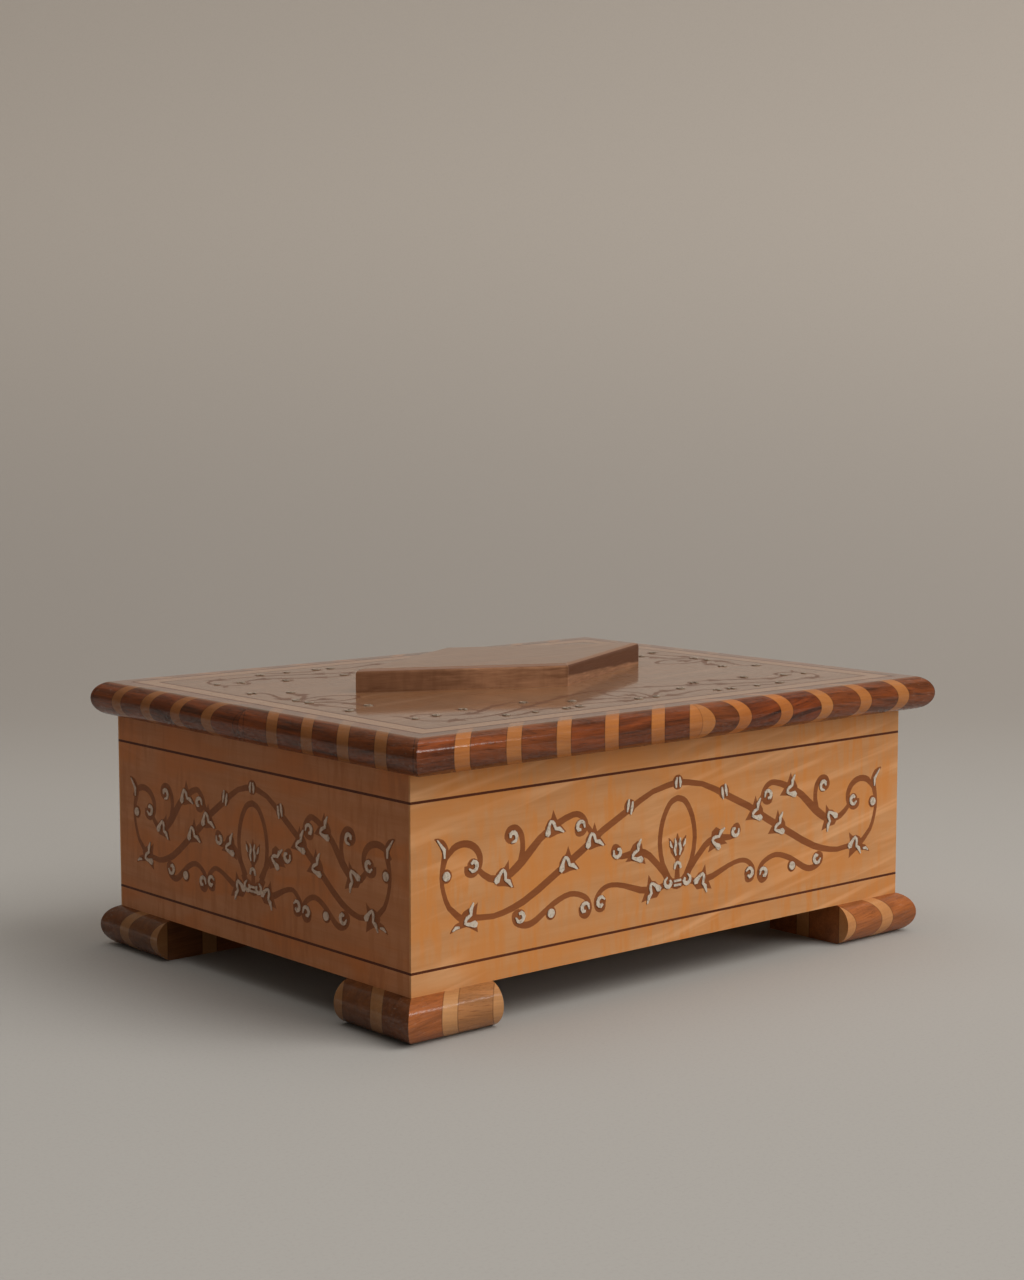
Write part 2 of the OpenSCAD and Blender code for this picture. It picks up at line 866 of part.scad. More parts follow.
module left_pewter() {
    color("lightgray")
        on_side(-90, body_l / 2, true)
            panel_pewter(short_fit);
}

module right_pewter() {
    color("lightgray")
        on_side(90, body_l / 2, true)
            panel_pewter(short_fit);
}

// Feet

module front_left_foot() {
    color("saddlebrown")
        foot_place(-1, -1)
            foot_blocks();
}

module front_left_foot_stripes() {
    color("tan")
        foot_place(-1, -1)
            foot_stripes();
}

module front_right_foot() {
    color("saddlebrown")
        foot_place(1, -1)
            foot_blocks();
}

module front_right_foot_stripes() {
    color("tan")
        foot_place(1, -1)
            foot_stripes();
}

module back_left_foot() {
    color("saddlebrown")
        foot_place(-1, 1)
            foot_blocks();
}

module back_left_foot_stripes() {
    color("tan")
        foot_place(-1, 1)
            foot_stripes();
}

module back_right_foot() {
    color("saddlebrown")
        foot_place(1, 1)
            foot_blocks();
}

module back_right_foot_stripes() {
    color("tan")
        foot_place(1, 1)
            foot_stripes();
}

// Hinges

module left_rim_leaf() {
    color("gold")
        hinge_leaf(-hinge_x, -1);
}

module right_rim_leaf() {
    color("gold")
        hinge_leaf(hinge_x, -1);
}

module left_hinge_pin() {
    color("gold")
        hinge_pin(-hinge_x);
}

module right_hinge_pin() {
    color("gold")
        hinge_pin(hinge_x);
}

module hinge_pin(x) {
    translate([x, 0, rim_z])
        knuckle_place(0)
            cylinder(r = pin_r, h = hinge_l, center = true);
}

module rim_screws() {
    color("gold")
        for (x = [-hinge_x, hinge_x])
            translate([x, 0, rim_z])
                leaf_screws(-1)
                    screw();
}

module left_lid_leaf() {
    color("gold")
        hinge_leaf(-hinge_x, 1);
}

module right_lid_leaf() {
    color("gold")
        hinge_leaf(hinge_x, 1);
}

module lid_screws() {
    color("gold")
        for (x = [-hinge_x, hinge_x])
            translate([x, 0, rim_z])
                leaf_screws(1)
                    screw();
}

// Lid

module lid_core() {
    color("peru")
        difference() {
            translate([0, 0, rim_z])
                linear_extrude(lid_t - veneer_t)
                    square([core_l, core_w], center = true);
            hinge_seat(1);
        }
}

module on_lid(raised = false) {
    translate([0, 0, lid_top - (raised ? 0 : veneer_t)])
        linear_extrude(raised ? pewter_t : veneer_t)
            children();
}

module lid_border() {
    color("wheat")
        on_lid()
            frame(band_l, band_w, border_w - string_w);
}

module lid_stringing() {
    color("black")
        on_lid() {
            frame(core_l, core_w, string_w);
            frame(ring_l, ring_w, string_w);
        }
}

module lid_veneer() {
    color("goldenrod")
        on_lid()
            offset(delta = 0)
                difference() {
                    square([field_l, field_w], center = true);
                    lid_scroll_drawing();
                }
}

module lid_scroll() {
    color("sienna")
        on_lid()
            offset(delta = 0)
                lid_scroll_drawing();
}

module lid_pewter() {
    color("lightgray")
        on_lid(true)
            lid_pewter_drawing();
}

module front_edging() {
    color("saddlebrown")
        rail_blocks(lid_l, lid_w / 2, long_stripes, true);
}

module front_edging_stripes() {
    color("tan")
        rail_stripes(lid_l, lid_w / 2, long_stripes, true);
}

module back_edging() {
    color("saddlebrown")
        difference() {
            rotate(180)
                rail_blocks(lid_l, lid_w / 2, long_stripes, true);
            hinge_seat(1);
        }
}

module back_edging_stripes() {
    color("tan")
        difference() {
            rotate(180)
                rail_stripes(lid_l, lid_w / 2, long_stripes, true);
            hinge_seat(1);
        }
}

module left_edging() {
    color("saddlebrown")
        rotate(-90)
            rail_blocks(lid_w, lid_l / 2, short_stripes, false);
}

module left_edging_stripes() {
    color("tan")
        rotate(-90)
            rail_stripes(lid_w, lid_l / 2, short_stripes, false);
}

module right_edging() {
    color("saddlebrown")
        rotate(90)
            rail_blocks(lid_w, lid_l / 2, short_stripes, false);
}

module right_edging_stripes() {
    color("tan")
        rotate(90)
            rail_stripes(lid_w, lid_l / 2, short_stripes, false);
}

module lozenge_block() {
    color("saddlebrown")
        intersection() {
            lozenge();
            lid_layer(lid_top, lid_top + loz_h - veneer_t);
        }
}

module lozenge_veneer() {
    color("tan")
        intersection() {
            lozenge();
            lid_layer(lid_top + loz_h - veneer_t, lid_top + loz_h + 1);
        }
}

front_wall();
back_wall();
left_wall();
right_wall();
floor_panel();
floor_lining();
front_veneer();
back_veneer();
left_veneer();
right_veneer();
lower_stringing();
upper_stringing();
front_scroll();
back_scroll();
left_scroll();
right_scroll();
front_pewter();
back_pewter();
left_pewter();
right_pewter();
front_left_foot();
front_left_foot_stripes();
front_right_foot();
front_right_foot_stripes();
back_left_foot();
back_left_foot_stripes();
back_right_foot();
back_right_foot_stripes();
left_rim_leaf();
right_rim_leaf();
left_hinge_pin();
right_hinge_pin();
rim_screws();
lid_core();
lid_border();
lid_stringing();
lid_veneer();
lid_scroll();
lid_pewter();
front_edging();
front_edging_stripes();
back_edging();
back_edging_stripes();
left_edging();
left_edging_stripes();
right_edging();
right_edging_stripes();
lozenge_block();
lozenge_veneer();
left_lid_leaf();
right_lid_leaf();
lid_screws();
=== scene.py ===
"""Dresses the marquetry jewellery box: its woods, metals and felt, the studio and the camera."""

import logging
import math
from dataclasses import dataclass, replace
from enum import Enum
from typing import Union

import bpy
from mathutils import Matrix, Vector


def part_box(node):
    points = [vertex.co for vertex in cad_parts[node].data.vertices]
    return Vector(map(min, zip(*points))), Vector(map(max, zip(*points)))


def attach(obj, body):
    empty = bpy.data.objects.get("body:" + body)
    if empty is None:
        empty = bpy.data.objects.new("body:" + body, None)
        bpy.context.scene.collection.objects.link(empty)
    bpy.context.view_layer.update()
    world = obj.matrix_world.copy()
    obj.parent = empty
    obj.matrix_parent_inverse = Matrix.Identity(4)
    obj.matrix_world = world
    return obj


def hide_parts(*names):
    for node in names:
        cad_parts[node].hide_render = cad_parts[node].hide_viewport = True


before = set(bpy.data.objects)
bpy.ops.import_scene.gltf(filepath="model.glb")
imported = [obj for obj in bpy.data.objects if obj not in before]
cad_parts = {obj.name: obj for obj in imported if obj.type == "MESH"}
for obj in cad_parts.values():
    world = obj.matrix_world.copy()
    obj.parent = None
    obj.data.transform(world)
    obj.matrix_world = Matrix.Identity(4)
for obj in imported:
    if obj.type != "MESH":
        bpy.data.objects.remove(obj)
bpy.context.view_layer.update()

log = logging.getLogger("jewellery_box")

Colour = tuple[float, float, float]
Value = Union["Socket", float, tuple]
MM = 0.001
# noise lies evenly around this value
MIDDLE = 0.5
# socket numbers: the object output of Texture Coordinate, and the colour sockets of Mix
OBJECT_OUTPUT = 3
MIX_FIRST, MIX_SECOND, MIX_RESULT = 6, 7, 2


class Socket:
    """A value in a node tree, on which Python arithmetic adds Math nodes."""

    def __init__(self, graph: "Graph", port: bpy.types.NodeSocket) -> None:
        """Keeps the node tree and the output socket that holds the value."""
        self.graph = graph
        self.port = port

    def math(self, operation: str, *others: Value) -> "Socket":
        """Adds one Math node.

        Args:
            operation: the node's operation, such as "MULTIPLY".
            others: the operands after this one.

        Returns:
            The node's result.
        """
        sockets = dict(enumerate((self, *others)))
        return self.graph.add("ShaderNodeMath", {"operation": operation}, sockets)

    def __add__(self, other: Value) -> "Socket":
        """Adds another value."""
        return self.math("ADD", other)

    def __radd__(self, other: Value) -> "Socket":
        """Is added to a number."""
        return self.math("ADD", other)

    def __sub__(self, other: Value) -> "Socket":
        """Takes another value away."""
        return self.math("SUBTRACT", other)

    def __rsub__(self, other: Value) -> "Socket":
        """Is taken away from a number."""
        return self.math("MULTIPLY_ADD", -1.0, other)

    def __mul__(self, other: Value) -> "Socket":
        """Multiplies by another value."""
        return self.math("MULTIPLY", other)

    def __rmul__(self, other: Value) -> "Socket":
        """Multiplies a number."""
        return self.math("MULTIPLY", other)

    def __truediv__(self, other: Value) -> "Socket":
        """Divides by another value."""
        return self.math("DIVIDE", other)

    def __lt__(self, other: Value) -> "Socket":
        """Is 1 where this value is the smaller one, and 0 elsewhere."""
        return self.math("LESS_THAN", other)

    def __abs__(self) -> "Socket":
        """Drops the sign."""
        return self.math("ABSOLUTE")

    def floor(self) -> "Socket":
        """Rounds down."""
        return self.math("FLOOR")

    def sign(self) -> "Socket":
        """Keeps the sign only."""
        return self.math("SIGN")

    def greater(self, other: Value) -> "Socket":
        """Keeps the greater of two values."""
        return self.math("MAXIMUM", other)

    def step(self, low: float, high: float) -> "Socket":
        """Rises smoothly from 0 to 1 between two values.

        Args:
            low: the value at and below which the result is 0.
            high: the value at and above which the result is 1.

        Returns:
            The smooth step.
        """
        sockets = {"Value": self, "From Min": low, "From Max": high}
        return self.graph.add("ShaderNodeMapRange", {"interpolation_type": "SMOOTHSTEP"}, sockets)


Place = tuple[Socket, Socket, Socket]


@dataclass(frozen=True)
class Pattern:
    """A noise pattern: its sizes in millimetres, its layers, and the values between which its mask rises."""

    sizes: tuple[float, ...] = (1.0, 1.0, 1.0)
    detail: float = 2.0
    rough: float = 0.5
    swirl: float = 0.0
    rise: tuple[float, float] = (0.0, 1.0)

    def sized(self, *sizes: float) -> "Pattern":
        """Gives the same pattern in other sizes."""
        return replace(self, sizes=sizes)


# figure of the wood, with sizes along, across and above the grain
FIBRES = Pattern(detail=4.0, rough=0.6)
BANDS = Pattern(detail=3.0, swirl=0.8)
GLOW_PATCHES = Pattern((42.0, 17.0, 17.0), swirl=0.7, rise=(0.4, 0.68))
CURLS = Pattern(rough=0.55, swirl=0.3, rise=(0.4, 0.7))
CURL_ZONES = Pattern((30.0, 30.0, 30.0), detail=1.0, rise=(0.2, 0.6))
SWEEP_ZONES = Pattern((50.0, 26.0, 26.0), detail=1.0, rise=(0.45, 0.65))
PORES = Pattern((7.0, 0.28, 0.28), rise=(0.55, 0.72))
# figure that runs through the wood in layers, with sizes along and above the grain
SWEEPS = Pattern((75.0, 5.0, 1.0), swirl=0.5, rise=(0.48, 0.72))
HEART_WAVES = Pattern((14.0, 4.0, 1.0))
# wear, metal and cloth, with sizes along x, y and z
SCUFFS = Pattern((2.5, 2.5, 0.9), detail=5.0, rough=0.7, rise=(0.55, 0.75))
PEEL = Pattern((0.9, 0.9, 0.9), rise=(0.4, 0.62))
CLOUDS = Pattern(detail=4.0, rough=0.6, rise=(0.45, 0.75))
RUBBING = Pattern((0.5, 0.5, 0.5), detail=3.0, rough=0.6)
FLUFF = Pattern((0.6, 0.6, 0.6), detail=6.0, rough=0.7, swirl=1.5, rise=(0.45, 0.8))
FELT_PATCHES = Pattern((18.0, 18.0, 18.0))
WEAVE = Pattern((1.2, 1.2, 1.2), detail=4.0, rough=0.6)


class Graph:
    """The nodes of one material or world, with places in millimetres of the part's own frame."""

    def __init__(self, tree: bpy.types.NodeTree) -> None:
        """Keeps the node tree."""
        self.tree = tree

    def add(
        self, kind: str, settings: dict | None = None, sockets: dict | None = None, output: int = 0
    ) -> Socket:
        """Adds one node.

        Args:
            kind: the node's type name.
            settings: the node's own settings, set first.
            sockets: values or links of its input sockets, by name or number.
            output: the number of the output to return.

        Returns:
            The chosen output.
        """
        node = self.tree.nodes.new(kind)
        for key, value in (settings or {}).items():
            setattr(node, key, value)
        for key, value in (sockets or {}).items():
            self.feed(node.inputs[key], value)
        return Socket(self, node.outputs[output])

    def feed(self, port: bpy.types.NodeSocket, value: Value) -> None:
        """Links a value to an input socket, or sets the socket to a constant."""
        if isinstance(value, Socket):
            self.tree.links.new(value.port, port)
        else:
            port.default_value = value

    def place(self) -> Place:
        """Gives the x, y and z of a surface point in millimetres."""
        coordinates = self.add("ShaderNodeTexCoord", output=OBJECT_OUTPUT)
        scaled = self.add("ShaderNodeVectorMath", {"operation": "SCALE"}, {0: coordinates, "Scale": 1 / MM})
        parts = self.add("ShaderNodeSeparateXYZ", None, {0: scaled}).port.node
        return tuple(Socket(self, port) for port in parts.outputs)

    def noise(self, pattern: Pattern, place: tuple) -> Socket:
        """Adds a noise pattern.

        Args:
            pattern: its sizes and layers.
            place: three coordinates in millimetres.

        Returns:
            The pattern, around the middle value.
        """
        scaled = [part / size for part, size in zip(place, pattern.sizes)]
        sockets = {
            "Vector": self.add("ShaderNodeCombineXYZ", None, dict(enumerate(scaled))),
            "Scale": 1.0,
            "Detail": pattern.detail,
            "Roughness": pattern.rough,
            "Distortion": pattern.swirl,
        }
        return self.add("ShaderNodeTexNoise", None, sockets)

    def mask(self, pattern: Pattern, place: tuple) -> Socket:
        """Adds a noise pattern that is sharpened to a mask from 0 to 1."""
        return self.noise(pattern, place).step(*pattern.rise)

    def chance(self, seed: Socket) -> Socket:
        """Gives an even random value for each seed."""
        return self.add("ShaderNodeTexWhiteNoise", {"noise_dimensions": "1D"}, {"W": seed})

    def mix(self, first: Value, second: Value, share: Value) -> Socket:
        """Mixes two colours.

        Args:
            first: the colour at a share of 0.
            second: the colour at a share of 1.
            share: the share of the second colour, held between 0 and 1.

        Returns:
            The mixed colour.
        """
        settings = {"data_type": "RGBA", "clamp_factor": True}
        sockets = {"Factor": share, MIX_FIRST: rgba(first), MIX_SECOND: rgba(second)}
        return self.add("ShaderNodeMix", settings, sockets, MIX_RESULT)

    def bump(self, height: Socket, depth_mm: float) -> Socket:
        """Turns a height pattern into a normal, with its full depth in millimetres."""
        sockets = {"Strength": 1.0, "Distance": depth_mm * MM, "Height": height}
        return self.add("ShaderNodeBump", None, sockets)


class Surface(Graph):
    """The nodes of one material, around a single shader."""

    def __init__(self, name: str) -> None:
        """Starts a new material."""
        self.material = bpy.data.materials.new(name)
        self.material.use_nodes = True
        super().__init__(self.material.node_tree)
        self.shader = self.tree.nodes["Principled BSDF"]

    def set(self, **sockets: Value) -> None:
        """Feeds the shader's sockets, named with _ for a space."""
        for key, value in sockets.items():
            self.feed(self.shader.inputs[key.replace("_", " ")], value)


def shade(colour: Colour, share: float) -> Colour:
    """Darkens a plain colour to a share of itself."""
    return tuple(part * share for part in colour)


def rgba(colour: Value) -> Value:
    """Gives a plain colour its alpha, and leaves a socket as it is."""
    return colour if isinstance(colour, Socket) else (*colour, 1.0)


class Grain(Enum):
    """The direction in which the fibres of a piece run, as the numbers of along, across and up."""

    X = (0, 1, 2)
    Y = (1, 0, 2)


class Layout(Enum):
    """How a striped piece is laid up from its blocks."""

    LONG_RAIL = "long"
    SHORT_RAIL = "short"
    FOOT = "foot"


# steps between the seeds of blocks, of the arms of a foot, of left and right, and of front and back
BLOCK_SEED = 7.13
ARM_SEED = 11.5
END_SEED = 43.7
SIDE_SEED = 65.0
# distances from the corner, from a glue line and from the middle of a rail over which each fades out
CORNER_FADE = (3.0, 24.0)
GLUE_FADE = (0.1, 0.35)
MIDDLE_FADE = (0.1, 0.3)


@dataclass(frozen=True)
class Blocks:
    """The skew blocks and stripes of an edging or a foot, all in millimetres.

    The first stripe of a foot begins at first, and pitch is the distance from stripe to stripe.
    """

    layout: Layout
    half_length: float
    half_width: float
    pitch: float
    stripe: float
    middle_y: float = 0.0
    first: float = 0.0

    @property
    def start(self) -> float:
        """The middle of the first stripe."""
        return self.first + self.stripe / 2 if self.layout is Layout.FOOT else 0.0

    def inset(self, place: Place) -> tuple[Socket, Socket]:
        """Measures how far a point lies in from the ends and from the long sides."""
        x, y, _ = place
        return self.half_length - abs(x), self.half_width - abs(y - self.middle_y)

    def skew(self, place: Place) -> Socket:
        """Measures along the edge to the slab that a point lies in.

        Args:
            place: the point's x, y and z.

        Returns:
            The distance from the middle of a rail, or from the corner of a foot.
        """
        x, y, _ = place
        in_x, in_y = self.inset(place)
        if self.layout is Layout.LONG_RAIL:
            return abs(x) + in_y
        if self.layout is Layout.SHORT_RAIL:
            return abs(y) + in_x
        return abs(in_x - in_y)

    def stripe_number(self, place: Place) -> Socket:
        """Counts the maple stripe that is nearest to a point."""
        return ((self.skew(place) - self.start) / self.pitch + 0.5).floor()

    def block_number(self, place: Place) -> Socket:
        """Counts the walnut block that a point lies in."""
        return ((self.skew(place) - self.first) / self.pitch).floor()

    def seed(self, place: Place, number: Socket) -> Socket:
        """Gives each block a number of its own, whatever side and end it is on."""
        x, y, _ = place
        across = y - self.middle_y
        ends = x.sign() * END_SEED + across.sign() * SIDE_SEED
        if self.layout is Layout.FOOT:
            ends = ends + self.lean(place) * (number + 1.0) * ARM_SEED
        return number * BLOCK_SEED + ends

    def lean(self, place: Place) -> Socket:
        """Is 1 on the arm of a foot that faces a short side of the box, and -1 on its other arm."""
        x, y, _ = place
        return (abs(x) - abs(y - self.middle_y) - (self.half_length - self.half_width)).sign()

    def corner(self, place: Place) -> Socket:
        """Is 1 at the corner of the lid or foot, and fades to 0 further in."""
        in_x, in_y = self.inset(place)
        return 1 - in_x.greater(in_y).step(*CORNER_FADE)

    def joint(self, place: Place) -> Socket:
        """Draws the thin glue lines between blocks and stripes, as 1 on the line."""
        near = self.stripe_number(place)
        half: Value = self.stripe / 2
        if self.layout is Layout.LONG_RAIL:
            # the stripe at the middle of a long rail is twice as wide as the others
            half = (near < 0.5) * half + half
        from_line = abs(abs(self.skew(place) - near * self.pitch - self.start) - half)
        line = 1 - from_line.step(*GLUE_FADE)
        if self.layout is Layout.FOOT:
            return line
        middle = abs(place[0] if self.layout is Layout.LONG_RAIL else place[1])
        return line.greater(1 - middle.step(*MIDDLE_FADE))


# how much longer than wide a band of grain is, and how tall a curl is
BAND_STRETCH = 9.0
CURL_TALL = 16.0
# fall of the pale sweeps along the grain, where they set in, and how much lighter they are
SWEEP_FALL = 0.2
SWEEP_FROM = (10.0, 80.0)
SWEEP_GAIN = 1.3
SWEEP_LIFT = 0.03
# what is left of the distance across a grain that runs level through the piece
LEVEL_SQUEEZE = 0.05
# how far the grain tilts from block to block, and how far each block's grain is moved along
GRAIN_TILT = 0.3
GRAIN_SHIFT = 13.0
# shares of a colour in the deep grain of a block, on glue lines and in the painted shade on the short arms
# of feet
DEEP_SHADE = 0.45
GLUE_SHADE = 0.4
ARM_PAINTED_SHADE = 0.1
# strength of glue lines, of scuffs and of the unevenness of the varnish
GLUE_DEPTH = 0.55
SCUFF_DEPTH = 0.3
PEEL_DEPTH = 0.6
# depths below the flat top of a rail over which its coat turns into the lid's polish and a painted sheen in
# the lid's tone sets in, and the strength of that painted sheen
SHEEN_AND_POLISH_FADE = (0.5, 0.05)
TOP_SHEEN_DEPTH = 0.3
# colours of scuffed wood and of the painted sheen on the flat tops of the rails
SCUFF = (0.36, 0.28, 0.22)
TOP_SHEEN_TONE = (0.25, 0.13, 0.065)


@dataclass(frozen=True)
class Wood:
    """A varnished wood, with its colours as seen in plain light and its pattern sizes in millimetres.

    A depth says how strongly a pattern shows. The skirt is the colour below the height skirt_below, and
    sheen_and_polish_above is the height of a flat top that is polished like the lid and painted with a sheen
    in the lid's tone.
    """

    name: str
    pale: Colour
    dark: Colour
    glow: Colour = (0.0, 0.0, 0.0)
    grain: Grain = Grain.X
    fibre_long: float = 46.0
    fibre_wide: float = 0.7
    fibre_depth: float = 0.8
    band_wide: float = 7.0
    band_depth: float = 1.2
    glow_depth: float = 0.0
    curl_pitch: float = 1.6
    curl_depth: float = 0.0
    curl_warm: bool = False
    sweep_depth: float = 0.0
    pore_depth: float = 0.0
    level_grain: bool = False
    skirt_below: float = 0.0
    skirt: Colour = (0.0, 0.0, 0.0)
    block_depth: float = 0.0
    short_arm_shade_depth: float = 0.0
    roughness: float = 0.42
    roughness_spread: float = 0.16
    shine: float = 0.25
    coat: float = 0.0
    coat_roughness: float = 0.15
    coat_ior: float = 1.5
    sheen_and_polish_above: float = 0.0
    relief: float = 0.02

    def figure(self, graph: Surface, colour: Socket, place: Place) -> Socket:
        """Adds the glow, the curl and the pale sweeps of a figured veneer.

        Args:
            graph: the material's nodes.
            colour: the plain grain's colour.
            place: the point's distances along, across and above the grain.

        Returns:
            The figured colour.
        """
        along, across, up = place
        if self.glow_depth:
            colour = graph.mix(colour, self.glow, graph.mask(GLOW_PATCHES, place) * self.glow_depth)
        if self.curl_depth:
            curl = graph.mask(CURLS.sized(self.curl_pitch, CURL_TALL, CURL_TALL), place)
            share = curl * graph.mask(CURL_ZONES, place) * self.curl_depth
            colour = graph.mix(colour, self.glow if self.curl_warm else self.dark, share)
        if self.sweep_depth:
            sweep = graph.mask(SWEEPS, (along, up + across - along * SWEEP_FALL, 0.0))
            where = graph.mask(SWEEP_ZONES, place).greater(along.step(*SWEEP_FROM))
            light = tuple(min(1.0, part * SWEEP_GAIN + SWEEP_LIFT) for part in self.pale)
            colour = graph.mix(colour, light, sweep * where * self.sweep_depth)
        return colour

    def wear_and_shade(self, graph: Surface, colour: Socket, blocks: Blocks, place: Place) -> Socket:
        """Adds the glue lines, painted shade on the short arms of feet and the scuffed corners of a striped
        piece.

        Args:
            graph: the material's nodes.
            colour: the clean wood's colour.
            blocks: the lay-up of the piece.
            place: the point's x, y and z.

        Returns:
            The worn colour, with the painted shade.
        """
        colour = graph.mix(colour, shade(self.dark, GLUE_SHADE), blocks.joint(place) * GLUE_DEPTH)
        # the arms of a foot that face the short sides are darkened: painted shade
        if self.short_arm_shade_depth:
            short = blocks.lean(place) * 0.5 + 0.5
            colour = graph.mix(colour, shade(self.dark, ARM_PAINTED_SHADE), short * self.short_arm_shade_depth)
        scuffed = blocks.corner(place) * graph.mask(SCUFFS, place) * SCUFF_DEPTH
        return graph.mix(colour, SCUFF, scuffed)

    def material(self, blocks: Blocks | None = None, light_stripes: bool = False) -> bpy.types.Material:
        """Makes the wood's material.

        Args:
            blocks: the lay-up of a striped piece, or None for a plain one.
            light_stripes: True for the maple stripes of such a piece, False for its walnut blocks.

        Returns:
            The new material.
        """
        graph = Surface(self.name if blocks is None else f"{self.name}_{blocks.layout.value}")
        place = graph.place()
        along, across, up = (place[i] for i in self.grain.value)
        light: Value = self.pale
        deep: Value = self.dark
        if self.level_grain:
            across = across * LEVEL_SQUEEZE
        if blocks is not None:
            number = blocks.stripe_number(place) if light_stripes else blocks.block_number(place)
            seed = blocks.seed(place, number)
            tone = graph.chance(seed)
            up = up + along * (tone - MIDDLE) * GRAIN_TILT
            along = along + seed * GRAIN_SHIFT
            light = graph.mix(light, self.glow, tone * self.block_depth)
            deep = graph.mix(deep, shade(self.glow, DEEP_SHADE), tone * self.block_depth)
        grain = (along, across, up)
        thin, wide = self.fibre_wide, self.band_wide
        fibre = graph.noise(FIBRES.sized(self.fibre_long, thin, thin), grain)
        band = graph.noise(BANDS.sized(wide * BAND_STRETCH, wide, wide), grain)
        share = MIDDLE + (fibre - MIDDLE) * self.fibre_depth + (band - MIDDLE) * self.band_depth
        colour = self.figure(graph, graph.mix(light, deep, share), grain)
        varnish: Value = self.coat
        if self.pore_depth:
            colour = graph.mix(colour, self.dark, graph.mask(PORES, grain) * self.pore_depth)
        if self.skirt_below:
            colour = graph.mix(colour, self.skirt, place[2] < self.skirt_below)
        if blocks is not None:
            colour = self.wear_and_shade(graph, colour, blocks, place)
            varnish = self.coat * (1 - graph.mask(PEEL, place) * PEEL_DEPTH)
        # the flat top of a rail gets the lid's polish and a painted sheen in the lid's tone
        if self.sheen_and_polish_above:
            sheen_and_polish = place[2].step(*(self.sheen_and_polish_above - depth for depth in SHEEN_AND_POLISH_FADE))
            colour = graph.mix(colour, TOP_SHEEN_TONE, sheen_and_polish * TOP_SHEEN_DEPTH)
            varnish = sheen_and_polish.greater(varnish)
        graph.set(
            Base_Color=colour,
            Roughness=self.roughness + (fibre - MIDDLE) * self.roughness_spread,
            Specular_IOR_Level=self.shine,
            Coat_Weight=varnish,
            Coat_Roughness=self.coat_roughness,
            Coat_IOR=self.coat_ior,
            Normal=graph.bump(fibre, self.relief),
        )
        return graph.material


@dataclass(frozen=True)
class Heartwood(Wood):
    """A wood with dark heart at its left end and in the upper layer of its right half."""

    heart: Colour = (0.085, 0.030, 0.013)
    heart_end: float = -38.0
    heart_level: float = 0.0
    heart_slope: float = 0.045
    end_fade: float = 10.0
    end_wave: float = 30.0
    end_depth: float = 0.55
    level_fade: float = 0.5
    level_wave: float = 2.0
    middle_fade: float = 1.5
    right_depth: float = 0.3
    upper_depth: float = 0.65

    def figure(self, graph: Surface, colour: Socket, place: Place) -> Socket:
        """Adds the heart to the figure.

        Args:
            graph: the material's nodes.
            colour: the plain grain's colour.
            place: the point's distances along, across and above the grain.

        Returns:
            The figured colour.
        """
        along, _, up = place
        colour = super().figure(graph, colour, place)
        wave = graph.noise(HEART_WAVES, (along, up, 0.0)) - MIDDLE
        near, far = self.heart_end - self.end_fade, self.heart_end + self.end_fade
        left = 1 - (along + wave * self.end_wave).step(near, far)
        level = up + along * self.heart_slope + wave * self.level_wave
        upper = level.step(self.heart_level - self.level_fade, self.heart_level + self.level_fade)
        depth = upper * self.upper_depth + self.right_depth
        right = along.step(-self.middle_fade, self.middle_fade) * depth
        return graph.mix(colour, self.heart, left * self.end_depth + right)


@dataclass(frozen=True)
class Metal:
    """A worn metal, with tarnish in the clouds of a soft pattern."""

    name: str
    bright: Colour
    tarnish: Colour
    metallic: float
    roughness: float
    roughness_spread: float = 0.3
    relief: float = 0.03
    cloud_size: float = 3.0
    tarnish_depth: float = 0.8

    def material(self) -> bpy.types.Material:
        """Makes the metal's material."""
        graph = Surface(self.name)
        place = graph.place()
        size = self.cloud_size
        cloud = graph.noise(CLOUDS.sized(size, size, size), place)
        tarnished = cloud.step(*CLOUDS.rise) * self.tarnish_depth
        graph.set(
            Base_Color=graph.mix(self.bright, self.tarnish, tarnished),
            Metallic=self.metallic,
            Roughness=self.roughness + (cloud - MIDDLE) * self.roughness_spread,
            Normal=graph.bump(graph.noise(RUBBING, place), self.relief),
        )
        return graph.material


@dataclass(frozen=True)
class Felt:
    """Pressed felt with loose short fibres."""

    name: str
    base: Colour
    lint: Colour
    lint_depth: float = 0.5
    patch_depth: float = 0.5
    roughness: float = 0.95
    roughness_spread: float = 0.05
    sheen: float = 0.4
    relief: float = 0.3

    def material(self) -> bpy.types.Material:
        """Makes the felt's material."""
        graph = Surface(self.name)
        place = graph.place()
        fluff = graph.noise(FLUFF, place)
        patch = graph.noise(FELT_PATCHES, place)
        share = fluff.step(*FLUFF.rise) * self.lint_depth + (patch - MIDDLE) * self.patch_depth
        graph.set(
            Base_Color=graph.mix(self.base, self.lint, share),
            Roughness=self.roughness + (fluff - MIDDLE) * self.roughness_spread,
            Sheen_Weight=self.sheen,
            Normal=graph.bump(fluff, self.relief),
        )
        return graph.material


# veneers of the case and the lid
SIDE_MAPLE = Wood(
    "figured_maple", pale=(0.61, 0.313, 0.137), dark=(0.455, 0.19, 0.062), glow=(0.575, 0.22, 0.056),
    fibre_depth=0.4, glow_depth=0.65, curl_pitch=2.8, curl_depth=0.95, curl_warm=True, sweep_depth=0.4,
    shine=0.15,
)
